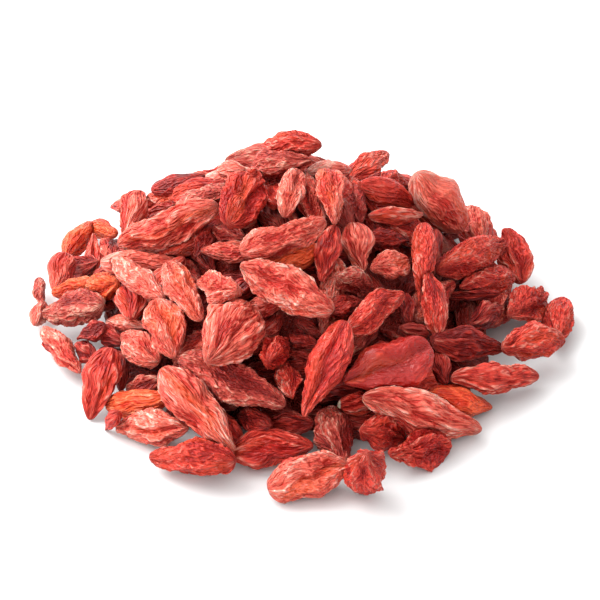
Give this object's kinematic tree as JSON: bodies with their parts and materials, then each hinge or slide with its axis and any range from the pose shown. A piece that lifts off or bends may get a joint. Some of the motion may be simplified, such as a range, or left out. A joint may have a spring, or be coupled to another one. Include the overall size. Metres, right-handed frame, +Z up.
{
  "type": "heap of dried goji berries",
  "caption": "Loose heap of dried goji berries: wrinkled red spindle-shaped fruits piled in a low rounded cone, with stragglers round its rim.",
  "frame": {"origin": "middle of the heap's bounding box, on the surface that the heap lies on", "axes": "+Z up, -Y towards the side of the heap that the picture shows, +X to the right in the picture"},
  "size_m": [0.0966, 0.0972, 0.0328],
  "materials": {
    "skin_red": "matte, wrinkled",
    "skin_bloomed": "matte, dusty on the ridges",
    "skin_dark": "matte, wrinkled",
    "skin_orange": "satin, slightly translucent",
    "skin_brown": "matte, wrinkled"
  },
  "bodies": {
    "root": {"bed": "skin_red", "berry_01": "skin_red", "berry_02": "skin_bloomed", "berry_03": "skin_red", "berry_04": "skin_red", "berry_05": "skin_red", "berry_06": "skin_bloomed", "berry_07": "skin_red", "berry_08": "skin_orange", "berry_09": "skin_brown", "berry_10": "skin_red", "berry_11": "skin_brown", "berry_12": "skin_bloomed", "berry_13": "skin_bloomed", "berry_14": "skin_bloomed", "berry_15": "skin_red", "berry_16": "skin_red", "berry_17": "skin_red", "berry_18": "skin_bloomed", "berry_19": "skin_bloomed", "berry_20": "skin_orange", "berry_21": "skin_bloomed", "berry_22": "skin_orange", "berry_23": "skin_bloomed", "berry_24": "skin_red", "berry_25": "skin_red", "berry_26": "skin_dark", "berry_27": "skin_red", "berry_28": "skin_bloomed", "berry_29": "skin_bloomed", "berry_30": "skin_red", "berry_31": "skin_dark", "berry_32": "skin_red", "berry_33": "skin_dark", "berry_34": "skin_bloomed", "berry_35": "skin_bloomed", "berry_36": "skin_brown", "berry_37": "skin_bloomed", "berry_38": "skin_red", "berry_39": "skin_brown", "berry_40": "skin_red", "berry_41": "skin_red", "berry_42": "skin_red", "berry_43": "skin_red", "berry_44": "skin_orange", "berry_45": "skin_red", "berry_46": "skin_bloomed", "berry_47": "skin_bloomed", "berry_48": "skin_bloomed", "berry_49": "skin_brown", "berry_50": "skin_red", "berry_51": "skin_dark", "berry_52": "skin_dark", "berry_53": "skin_bloomed", "berry_54": "skin_orange", "berry_55": "skin_red", "berry_56": "skin_orange", "berry_57": "skin_red", "berry_58": "skin_dark"}
  },
  "joints": []
}
